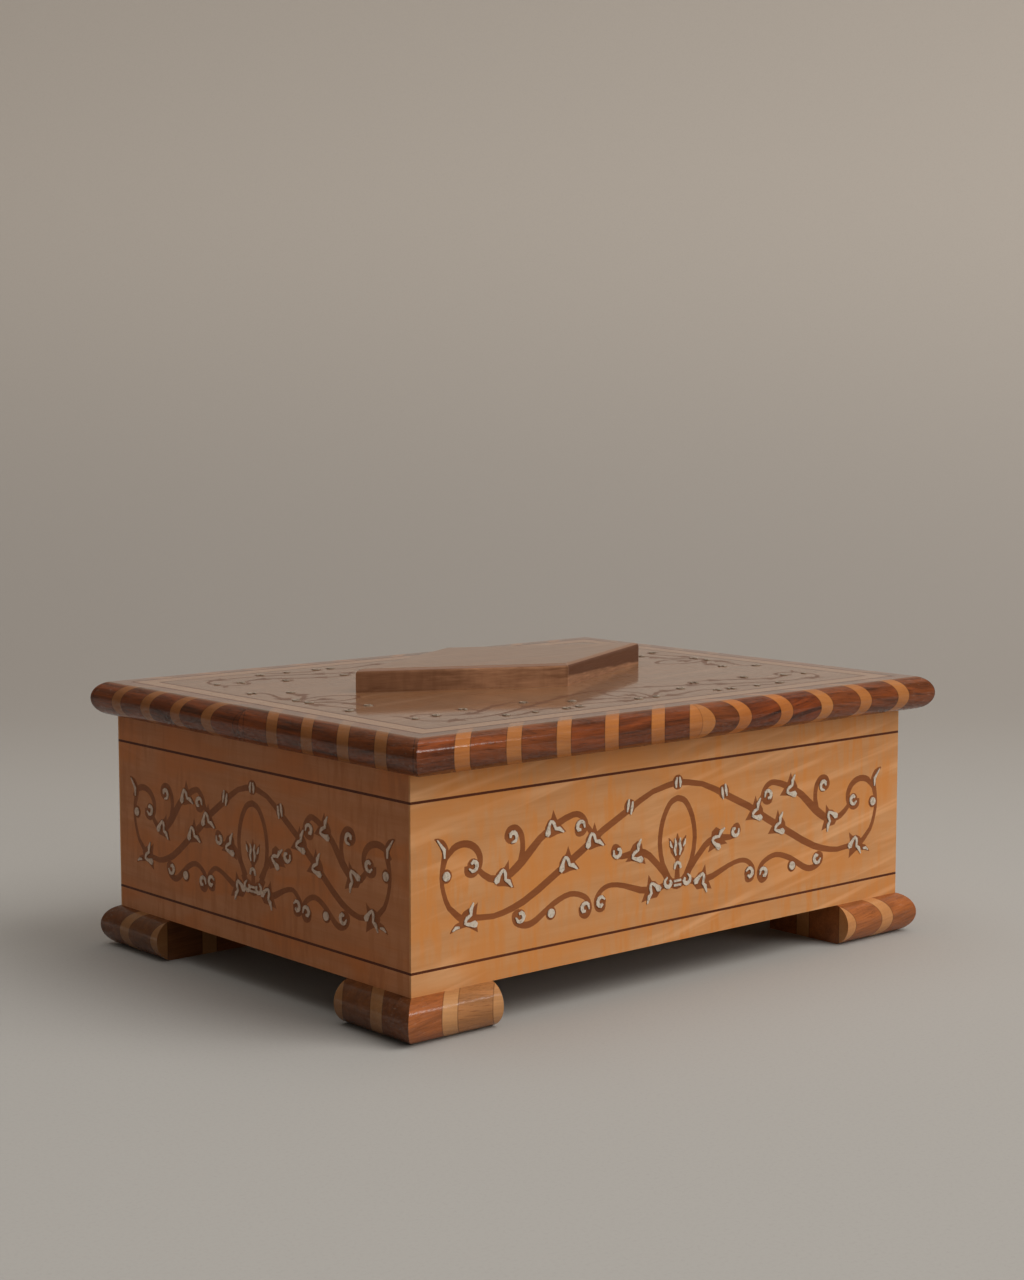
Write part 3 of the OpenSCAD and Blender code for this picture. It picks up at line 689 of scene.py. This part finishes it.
# the short sides' veneer has its own figure, and its darker colours are painted shade
SHADED_END_MAPLE = replace(
    SIDE_MAPLE, name="figured_maple_end_shaded", pale=(0.53, 0.225, 0.097), dark=(0.385, 0.133, 0.044),
    glow=(0.49, 0.152, 0.04), grain=Grain.Y, fibre_depth=0.5, glow_depth=0.85, curl_pitch=3.0,
    curl_depth=0.8, curl_warm=False, sweep_depth=0.1,
)
LID_MAPLE = replace(
    SIDE_MAPLE, pale=(0.27, 0.14, 0.070), dark=(0.187, 0.083, 0.0365), glow=(0.247, 0.109, 0.044),
    fibre_depth=0.5, glow_depth=0.85, curl_pitch=2.2, curl_depth=0.6, curl_warm=False,
)
BORDER_MAPLE = Wood("border_maple", pale=(0.37, 0.19, 0.09), dark=(0.29, 0.135, 0.058))
# stripes and blocks of the edging and the feet
STRIPE_MAPLE = Wood(
    "stripe_maple", pale=(0.45, 0.152, 0.034), dark=(0.31, 0.089, 0.018), glow=(0.49, 0.22, 0.07),
    block_depth=0.4, shine=0.02, coat=0.85, coat_roughness=0.12, coat_ior=1.62,
)
# the short rails' stripes are a darker copy of the long rails' stripes: painted shade
SHADED_END_STRIPE = replace(
    STRIPE_MAPLE, pale=(0.32, 0.110, 0.029), dark=(0.21, 0.063, 0.015), glow=(0.35, 0.16, 0.057)
)
# short_arm_shade_depth here and in FOOT_WALNUT paints shade on the arms of the feet that face the short
# sides
FOOT_MAPLE = replace(
    STRIPE_MAPLE, pale=(0.57, 0.26, 0.092), dark=(0.43, 0.17, 0.055), glow=(0.57, 0.32, 0.135),
    short_arm_shade_depth=0.5, coat_roughness=0.18,
)
WALNUT = Wood(
    "walnut", pale=(0.245, 0.049, 0.0095), dark=(0.022, 0.006, 0.0028), glow=(0.26, 0.078, 0.022),
    fibre_long=20.0, band_wide=4.0, band_depth=2.0, pore_depth=0.6, block_depth=0.45,
    shine=0.02, coat=0.85, coat_roughness=0.12, coat_ior=1.62,
)
FOOT_WALNUT = replace(
    WALNUT, pale=(0.47, 0.138, 0.035), dark=(0.15, 0.044, 0.0125), glow=(0.51, 0.225, 0.078),
    band_depth=1.3, block_depth=0.9, short_arm_shade_depth=0.62, coat_roughness=0.18,
)
# the lozenge, the inlays and the wood below the veneers
LOZENGE_WALNUT = Heartwood(
    "lozenge_walnut", pale=(0.44, 0.22, 0.115), dark=(0.165, 0.070, 0.033), glow=(0.48, 0.235, 0.12),
    fibre_long=7.0, fibre_depth=1.8, glow_depth=0.6, curl_pitch=2.4, curl_depth=0.25, band_wide=2.2,
    band_depth=1.0, level_grain=True, pore_depth=0.3, shine=0.06, coat=0.12, coat_roughness=0.12,
)
SCROLL_WOOD = Wood(
    "scroll_wood", pale=(0.29, 0.095, 0.030), dark=(0.19, 0.055, 0.016), pore_depth=0.3, shine=0.15
)
DARK_SCROLL = replace(SCROLL_WOOD, pale=(0.17, 0.066, 0.028), dark=(0.10, 0.035, 0.014))
STRING_WOOD = Wood("string_wood", pale=(0.13, 0.036, 0.015), dark=(0.06, 0.016, 0.007), shine=0.1)
CORE_WOOD = Wood("core_wood", pale=(0.48, 0.27, 0.13), dark=(0.34, 0.17, 0.075), roughness=0.6)
# metals and felt
PEWTER = Metal(
    "pewter", bright=(0.68, 0.585, 0.47), tarnish=(0.30, 0.215, 0.148), metallic=0.25, roughness=0.4,
    cloud_size=1.0,
)
# the short sides' pewter is a darker copy of the long sides' pewter: painted shade
SHADED_END_PEWTER = replace(PEWTER, name="end_pewter_shaded", bright=(0.56, 0.40, 0.295), tarnish=(0.27, 0.175, 0.11))
DULL_PEWTER = replace(
    PEWTER, name="dull_pewter", bright=(0.38, 0.30, 0.22), tarnish=(0.27, 0.195, 0.13), roughness=0.22
)
BRASS = Metal(
    "brass", bright=(0.58, 0.40, 0.17), tarnish=(0.30, 0.18, 0.065), metallic=1.0, roughness=0.34,
    relief=0.006,
)
RED_FELT = Felt("red_felt", base=(0.17, 0.012, 0.018), lint=(0.33, 0.05, 0.05))

LONG_SIDES = ("front", "back")
SHORT_SIDES = ("left", "right")
SIDES = LONG_SIDES + SHORT_SIDES


def dress(nodes: list[str], material: bpy.types.Material) -> None:
    """Gives CAD nodes a material.

    Args:
        nodes: the nodes' names.
        material: what they are made of.
    """
    for name in nodes:
        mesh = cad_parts[name].data
        mesh.materials.clear()
        mesh.materials.append(material)
        log.info("%s is dressed in %s", name, material.name)


def box_mm(name: str) -> tuple[Vector, Vector]:
    """Gives the low and high corner of a node in millimetres."""
    low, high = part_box(name)
    return Vector(low) / MM, Vector(high) / MM


@dataclass
class Case:
    """The walls with their veneers and inlays, the floor and its felt, in millimetres and degrees."""

    felt_thick: float = 1.1
    felt_gap: float = 0.3
    felt_ripple: float = 0.35
    felt_wave: float = 30.0
    felt_columns: int = 88
    felt_rows: int = 64
    felt_smooth: float = 40.0

    def dress(self) -> None:
        """Gives the walls, veneers and inlays their woods and metal."""
        dress([f"{side}_veneer" for side in LONG_SIDES], SIDE_MAPLE.material())
        dress([f"{side}_veneer" for side in SHORT_SIDES], SHADED_END_MAPLE.material())
        dress([f"{side}_scroll" for side in SIDES], SCROLL_WOOD.material())
        dress([f"{side}_pewter" for side in LONG_SIDES], PEWTER.material())
        dress([f"{side}_pewter" for side in SHORT_SIDES], SHADED_END_PEWTER.material())
        dress(["lower_stringing", "upper_stringing"], STRING_WOOD.material())
        dress([f"{side}_wall" for side in SIDES] + ["floor_panel"], CORE_WOOD.material())

    def build_felt(self) -> None:
        """Lays a soft sheet of felt on the floor in place of the plain slab."""
        low, high = box_mm("floor_lining")
        size = (high - low - Vector((2, 2, 0)) * self.felt_gap) * MM
        middle = (low + high) / 2 * MM
        bpy.ops.object.select_all(action="DESELECT")
        bpy.ops.mesh.primitive_grid_add(
            x_subdivisions=self.felt_columns, y_subdivisions=self.felt_rows, size=1,
            location=(middle.x, middle.y, low.z * MM),
        )
        sheet = bpy.context.object
        sheet.name = "felt_lining"
        sheet.scale = (size.x, size.y, 1)
        bpy.ops.object.transform_apply(location=True, rotation=True, scale=True)
        clouds = bpy.data.textures.new("felt_clouds", "CLOUDS")
        clouds.noise_scale = self.felt_wave * MM
        ripple = sheet.modifiers.new("ripple", "DISPLACE")
        ripple.texture = clouds
        ripple.strength = self.felt_ripple * MM
        ripple.mid_level = 0.0
        thick = sheet.modifiers.new("thick", "SOLIDIFY")
        thick.thickness = self.felt_thick * MM
        thick.offset = 1.0
        for modifier in ("ripple", "thick"):
            bpy.ops.object.modifier_apply(modifier=modifier)
        bpy.ops.object.shade_smooth_by_angle(angle=math.radians(self.felt_smooth))
        sheet.data.materials.append(RED_FELT.material())
        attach(sheet, "case")
        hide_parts("floor_lining")
        log.info("felt_lining is laid on the floor panel")


@dataclass
class Striped:
    """The laminated wood of the lid's edging and of the feet, in millimetres."""

    stripe: float = 6.5
    corner_block: float = 18.5
    long_stripes: int = 5
    short_stripes: int = 4
    foot_block: float = 13.8
    foot_gap: float = 15.0

    def dress_edging(self) -> None:
        """Dresses the four rails of the edging."""
        low, high = box_mm("front_edging")
        half_length, half_width = high.x, -low.y
        long_pitch = (half_length - self.corner_block) / self.long_stripes
        short_pitch = (half_width - self.corner_block) / self.short_stripes
        plans = (
            (LONG_SIDES, Grain.X, Layout.LONG_RAIL, long_pitch, STRIPE_MAPLE),
            (SHORT_SIDES, Grain.Y, Layout.SHORT_RAIL, short_pitch, SHADED_END_STRIPE),
        )
        for sides, grain, layout, pitch, maple in plans:
            blocks = Blocks(layout, half_length, half_width, pitch, self.stripe)
            walnut = replace(WALNUT, grain=grain, sheen_and_polish_above=high.z)
            dress([f"{side}_edging" for side in sides], walnut.material(blocks))
            stripes = replace(maple, grain=grain, sheen_and_polish_above=high.z)
            dress([f"{side}_edging_stripes" for side in sides], stripes.material(blocks, light_stripes=True))

    def dress_feet(self) -> None:
        """Dresses the four feet."""
        low, _ = box_mm("front_left_foot")
        _, high = box_mm("back_right_foot")
        pitch = self.stripe + self.foot_gap
        half_width, middle_y = (high.y - low.y) / 2, (high.y + low.y) / 2
        blocks = Blocks(Layout.FOOT, high.x, half_width, pitch, self.stripe, middle_y, self.foot_block)
        feet = [f"{end}_{side}_foot" for end in LONG_SIDES for side in SHORT_SIDES]
        dress(feet, FOOT_WALNUT.material(blocks))
        dress([f"{foot}_stripes" for foot in feet], FOOT_MAPLE.material(blocks, light_stripes=True))


@dataclass
class Lid:
    """The board, its veneers and inlays, and the lozenge, with the depth of its rim in millimetres."""

    polish: float = 0.88
    polish_roughness: float = 0.07
    inlay_polish: float = 0.3
    lozenge_polish: float = 0.78
    lozenge_rim: float = 0.02
    lozenge_skirt: Colour = (0.20, 0.09, 0.043)

    def dress(self) -> None:
        """Gives the lid's pieces their woods and metal under a high polish."""
        dress(["lid_core"], CORE_WOOD.material())
        low, high = box_mm("lozenge_block")
        dress(["lozenge_block"], replace(LOZENGE_WALNUT, heart_level=(low.z + high.z) / 2).material())
        dress(["lid_pewter"], DULL_PEWTER.material())
        _, high = box_mm("lozenge_veneer")
        lozenge_maple = replace(
            LID_MAPLE, skirt_below=high.z - self.lozenge_rim, skirt=self.lozenge_skirt
        )
        polished = (
            ("lid_veneer", LID_MAPLE, self.polish),
            ("lid_border", BORDER_MAPLE, self.polish),
            ("lozenge_veneer", lozenge_maple, self.lozenge_polish),
            ("lid_scroll", DARK_SCROLL, self.inlay_polish),
            ("lid_stringing", STRING_WOOD, self.inlay_polish),
        )
        for node, wood, polish in polished:
            finish = replace(wood, name=node, coat=polish, coat_roughness=self.polish_roughness)
            dress([node], finish.material())


@dataclass
class Hinges:
    """The brass butt hinges and their screws."""

    kinds: tuple[str, ...] = ("rim_leaf", "lid_leaf", "hinge_pin")

    def dress(self) -> None:
        """Gives all the metal of the hinges its brass."""
        pieces = [f"{side}_{kind}" for side in SHORT_SIDES for kind in self.kinds]
        dress(pieces + ["rim_screws", "lid_screws"], BRASS.material())


@dataclass(frozen=True)
class Lamp:
    """A square lamp that faces the box, in metres and watts."""

    name: str
    place: tuple[float, float, float]
    size: float
    power: float
    gleams: bool

    def hang(self) -> None:
        """Hangs the lamp out of the camera's sight, and lets glossy surfaces mirror it only if it gleams."""
        light = bpy.data.lights.new(self.name, "AREA")
        light.size = self.size
        light.energy = self.power
        lamp = bpy.data.objects.new(self.name, light)
        lamp.location = self.place
        lamp.visible_camera = False
        lamp.visible_glossy = self.gleams
        lamp.rotation_euler = (-Vector(self.place)).to_track_quat("-Z", "Y").to_euler()
        bpy.context.scene.collection.objects.link(lamp)
        log.info("lamp %s is hung", self.name)


LAMPS = (
    Lamp("key", place=(1.5, -2.25, 2.9), size=2.8, power=97.0, gleams=False),
    Lamp("fill", place=(1.9, -3.2, 0.8), size=1.5, power=33.0, gleams=False),
    Lamp("overhead", place=(0.2, 0.3, 3.2), size=4.0, power=59.0, gleams=True),
    Lamp("window", place=(1.64, -1.94, 1.64), size=0.34, power=2.2, gleams=True),
)


@dataclass
class Studio:
    """The sweep of pale cloth, the soft lights and the camera, in metres and degrees."""

    camera_place: tuple = (-0.5592, -0.6463, 0.2070)
    camera_yaw: float = 49.25
    camera_pitch: float = -6.12
    focal_pixels: float = 2262.8
    frame_pixels: float = 1280.0
    sensor: float = 36.0
    # colours of the cloth on the floor, at the back and up the wall; their differences are painted shade and
    # light on one cloth
    floor_colour: Colour = (0.395, 0.372, 0.34)
    back_colour: Colour = (0.315, 0.283, 0.25)
    wall_colour: Colour = (0.425, 0.375, 0.323)
    room_colour: Colour = (0.18, 0.172, 0.163)
    floor_fade_mm: float = 800.0
    wall_fade_mm: float = 450.0
    weave_shade: float = 0.8
    weave_depth: float = 0.6
    cloth_roughness: float = 0.95
    cloth_shine: float = 0.1
    sweep_size: float = 20.0
    sweep_back: float = 1.5
    sweep_height: float = 3.0
    sweep_round: float = 0.9
    sweep_segments: int = 24
    pick_reach: float = 0.01

    def build_sweep(self) -> None:
        """Makes the cloth that lies under the box and rises behind it, square to the camera."""
        half = self.sweep_size / 2
        bpy.ops.object.select_all(action="DESELECT")
        bpy.ops.mesh.primitive_plane_add(size=self.sweep_size, location=(0, self.sweep_back - half, 0))
        sweep = bpy.context.object
        sweep.name = "studio_sweep"
        bpy.ops.object.transform_apply(location=True, rotation=True, scale=True)
        self.pick_far_edge(sweep)
        bpy.ops.mesh.extrude_region_move(TRANSFORM_OT_translate={"value": (0, 0, self.sweep_height)})
        self.pick_far_edge(sweep)
        bpy.ops.mesh.bevel(offset=self.sweep_round, segments=self.sweep_segments, affect="EDGES")
        bpy.ops.mesh.select_all(action="SELECT")
        turn = math.radians(self.camera_yaw - 90)
        bpy.ops.transform.rotate(value=-turn, orient_axis="Z", center_override=(0, 0, 0))
        bpy.ops.object.mode_set(mode="OBJECT")
        bpy.ops.object.shade_smooth()
        sweep.data.materials.append(self.cloth())
        log.info("studio_sweep is hung")

    def pick_far_edge(self, sweep: bpy.types.Object) -> None:
        """Selects the edge between floor and wall, and leaves the cloth in edit mode."""
        if bpy.context.mode != "OBJECT":
            bpy.ops.object.mode_set(mode="OBJECT")
        bpy.ops.object.mode_set(mode="EDIT")
        bpy.ops.mesh.select_mode(type="VERT")
        bpy.ops.mesh.select_all(action="DESELECT")
        bpy.ops.object.mode_set(mode="OBJECT")
        for vertex in sweep.data.vertices:
            at_back = vertex.co.y > self.sweep_back - self.pick_reach
            vertex.select = at_back and vertex.co.z < self.pick_reach
        bpy.ops.object.mode_set(mode="EDIT")
        bpy.ops.mesh.select_mode(type="EDGE")

    def cloth(self) -> bpy.types.Material:
        """Makes the cloth's material, which changes from the floor to the back and up the wall."""
        graph = Surface("studio_cloth")
        x, y, z = graph.place()
        weave = graph.noise(WEAVE, (x, y, z))
        yaw = math.radians(self.camera_yaw)
        behind = x * math.cos(yaw) + y * math.sin(yaw)
        # the cloth is painted darker towards the back and lighter up the wall: painted shade and light
        colour = graph.mix(self.floor_colour, self.back_colour, behind.step(0.0, self.floor_fade_mm))
        colour = graph.mix(colour, self.wall_colour, z.step(0.0, self.wall_fade_mm))
        dull = shade(self.back_colour, self.weave_shade)
        colour = graph.mix(colour, dull, (weave - MIDDLE) * self.weave_depth)
        graph.set(Base_Color=colour, Roughness=self.cloth_roughness, Specular_IOR_Level=self.cloth_shine)
        return graph.material

    def build_lights(self) -> None:
        """Hangs the lamps, and sets the faint light of the room."""
        world = bpy.data.worlds.new("studio_world")
        world.use_nodes = True
        bpy.context.scene.world = world
        graph = Graph(world.node_tree)
        graph.feed(world.node_tree.nodes["Background"].inputs["Color"], rgba(self.room_colour))
        for lamp in LAMPS:
            lamp.hang()

    def build_camera(self) -> None:
        """Sets the camera where the photograph was taken from."""
        camera = bpy.data.cameras.new("camera")
        camera.sensor_fit = "VERTICAL"
        camera.sensor_height = self.sensor
        camera.lens = self.sensor * self.focal_pixels / self.frame_pixels
        eye = bpy.data.objects.new("camera", camera)
        eye.location = self.camera_place
        yaw, pitch = math.radians(self.camera_yaw), math.radians(self.camera_pitch)
        ahead = Vector((math.cos(yaw) * math.cos(pitch), math.sin(yaw) * math.cos(pitch), math.sin(pitch)))
        eye.rotation_euler = ahead.to_track_quat("-Z", "Y").to_euler()
        bpy.context.scene.collection.objects.link(eye)
        bpy.context.scene.camera = eye

    def build(self) -> None:
        """Sets up the whole studio."""
        bpy.context.scene.view_settings.view_transform = "Standard"
        self.build_sweep()
        self.build_lights()
        self.build_camera()


def main() -> None:
    """Builds and dresses everything in order."""
    logging.basicConfig(level=logging.INFO, format="%(name)s: %(message)s")
    Studio().build()
    case = Case()
    case.dress()
    case.build_felt()
    striped = Striped()
    striped.dress_edging()
    striped.dress_feet()
    Lid().dress()
    Hinges().dress()


if __name__ == "__main__":
    main()
